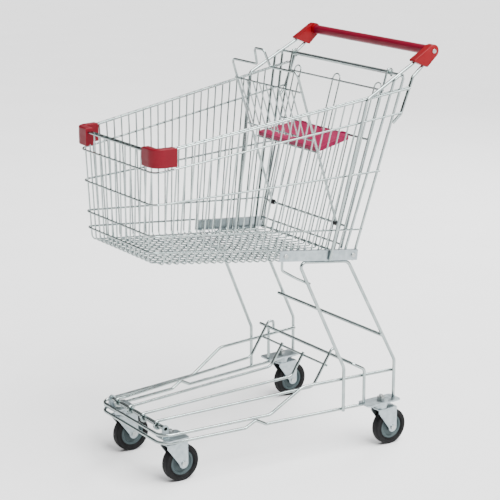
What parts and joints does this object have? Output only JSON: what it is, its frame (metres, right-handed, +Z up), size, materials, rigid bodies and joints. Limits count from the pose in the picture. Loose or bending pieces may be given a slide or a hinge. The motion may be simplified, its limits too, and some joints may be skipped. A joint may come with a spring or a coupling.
{
  "type": "shopping cart",
  "caption": "Wire shopping cart with a tapered basket, swinging rear gate, folding child seat and backrest, lifting lower tray and swivel castors.",
  "frame": {"origin": "floor level, under the middle of the cart's bounding box", "axes": "+X forward, away from the person pushing; +Y to the cart's left; +Z up"},
  "size_m": [0.8246, 0.5462, 1.0915],
  "materials": {
    "zinc_wire": "bright zinc plate with clear lacquer",
    "zinc_plate": "satin zinc plate",
    "zinc_fastener": "zinc plate",
    "red_bracket": "gloss",
    "crimson_grip": "gloss",
    "red_bumper": "satin",
    "crimson_seat": "satin",
    "tyre": "matte",
    "wheel_core": "matte",
    "black_tip": "matte"
  },
  "bodies": {
    "cart": {"basket_floor": "zinc_wire", "basket_left_side": "zinc_wire", "basket_right_side": "zinc_wire", "basket_front": "zinc_wire", "basket_corners": "zinc_wire", "basket_side_rims": "zinc_wire", "basket_front_rim": "zinc_wire", "left_rear_post": "zinc_wire", "right_rear_post": "zinc_wire", "corner_bumpers": "red_bumper", "gate_hinge_rod": "zinc_wire", "left_handle_wires": "zinc_wire", "right_handle_wires": "zinc_wire", "handle_tube": "zinc_wire", "handle_grip": "crimson_grip", "left_handle_bracket": "red_bracket", "right_handle_bracket": "red_bracket", "handle_screws": "zinc_fastener", "left_side_plate": "zinc_plate", "right_side_plate": "zinc_plate", "plate_bolts": "zinc_fastener", "left_leg_frame": "zinc_wire", "right_leg_frame": "zinc_wire", "leg_cross_rod": "zinc_wire", "tray_rest_rod": "zinc_wire", "upper_rail": "zinc_wire", "lower_rail": "zinc_wire", "front_tube": "zinc_wire", "basket_struts": "zinc_wire", "castor_plates": "zinc_plate", "castor_bolts": "zinc_fastener", "castor_races": "zinc_plate", "tube_tabs": "zinc_plate"},
    "gate": {"gate_grid": "zinc_wire", "gate_hairpins": "zinc_wire", "gate_side_wires": "zinc_wire", "gate_top_bar": "zinc_wire", "gate_hinge_sleeve": "zinc_wire"},
    "child_seat": {"seat_plate": "crimson_seat"},
    "backrest": {"backrest_frame": "zinc_wire", "backrest_bars": "zinc_wire", "backrest_pivot_tips": "black_tip"},
    "tray": {"tray_long_wires": "zinc_wire", "tray_cross_wire": "zinc_wire"},
    "front_left_castor": {"front_left_fork": "zinc_plate", "front_left_axle": "zinc_fastener"},
    "front_left_wheel": {"front_left_wheel_core": "wheel_core", "front_left_tyre": "tyre"},
    "front_right_castor": {"front_right_fork": "zinc_plate", "front_right_axle": "zinc_fastener"},
    "front_right_wheel": {"front_right_wheel_core": "wheel_core", "front_right_tyre": "tyre"},
    "rear_left_castor": {"rear_left_fork": "zinc_plate", "rear_left_axle": "zinc_fastener"},
    "rear_left_wheel": {"rear_left_wheel_core": "wheel_core", "rear_left_tyre": "tyre"},
    "rear_right_castor": {"rear_right_fork": "zinc_plate", "rear_right_axle": "zinc_fastener"},
    "rear_right_wheel": {"rear_right_wheel_core": "wheel_core", "rear_right_tyre": "tyre"}
  },
  "joints": [
    {"name": "gate_swing", "type": "hinge", "parent": "cart", "child": "gate", "pos_m": [-0.296, 0, 1.02], "axis": [0, -1, 0], "range_deg": [0, 70]},
    {"name": "seat_flip", "type": "hinge", "parent": "gate", "child": "child_seat", "pos_m": [-0.2416, 0, 0.84631], "axis": [0, -1, 0], "range_deg": [0, 100]},
    {"name": "backrest_fold", "type": "hinge", "parent": "gate", "child": "backrest", "pos_m": [-0.17761, 0, 0.62131], "axis": [0, -1, 0], "range_deg": [0, 22]},
    {"name": "tray_lift", "type": "hinge", "parent": "cart", "child": "tray", "pos_m": [0.355, 0, 0.15415], "axis": [0, 1, 0], "range_deg": [0, 30]},
    {"name": "front_left_swivel", "type": "hinge", "parent": "cart", "child": "front_left_castor", "pos_m": [0.334, 0.126, 0.117], "axis": [0, 0, 1], "continuous": true},
    {"name": "front_left_spin", "type": "hinge", "parent": "front_left_castor", "child": "front_left_wheel", "pos_m": [0.305, 0.126, 0.05], "axis": [0, 1, 0], "continuous": true},
    {"name": "front_right_swivel", "type": "hinge", "parent": "cart", "child": "front_right_castor", "pos_m": [0.334, -0.126, 0.117], "axis": [0, 0, 1], "continuous": true},
    {"name": "front_right_spin", "type": "hinge", "parent": "front_right_castor", "child": "front_right_wheel", "pos_m": [0.305, -0.126, 0.05], "axis": [0, 1, 0], "continuous": true},
    {"name": "rear_left_swivel", "type": "hinge", "parent": "cart", "child": "rear_left_castor", "pos_m": [-0.273, 0.2315, 0.117], "axis": [0, 0, 1], "continuous": true},
    {"name": "rear_left_spin", "type": "hinge", "parent": "rear_left_castor", "child": "rear_left_wheel", "pos_m": [-0.302, 0.2315, 0.05], "axis": [0, 1, 0], "continuous": true},
    {"name": "rear_right_swivel", "type": "hinge", "parent": "cart", "child": "rear_right_castor", "pos_m": [-0.273, -0.2315, 0.117], "axis": [0, 0, 1], "continuous": true},
    {"name": "rear_right_spin", "type": "hinge", "parent": "rear_right_castor", "child": "rear_right_wheel", "pos_m": [-0.302, -0.2315, 0.05], "axis": [0, 1, 0], "continuous": true}
  ],
  "couplings": [
    {"joint": "backrest_fold", "follows": "seat_flip", "ratio": 0.22}
  ]
}
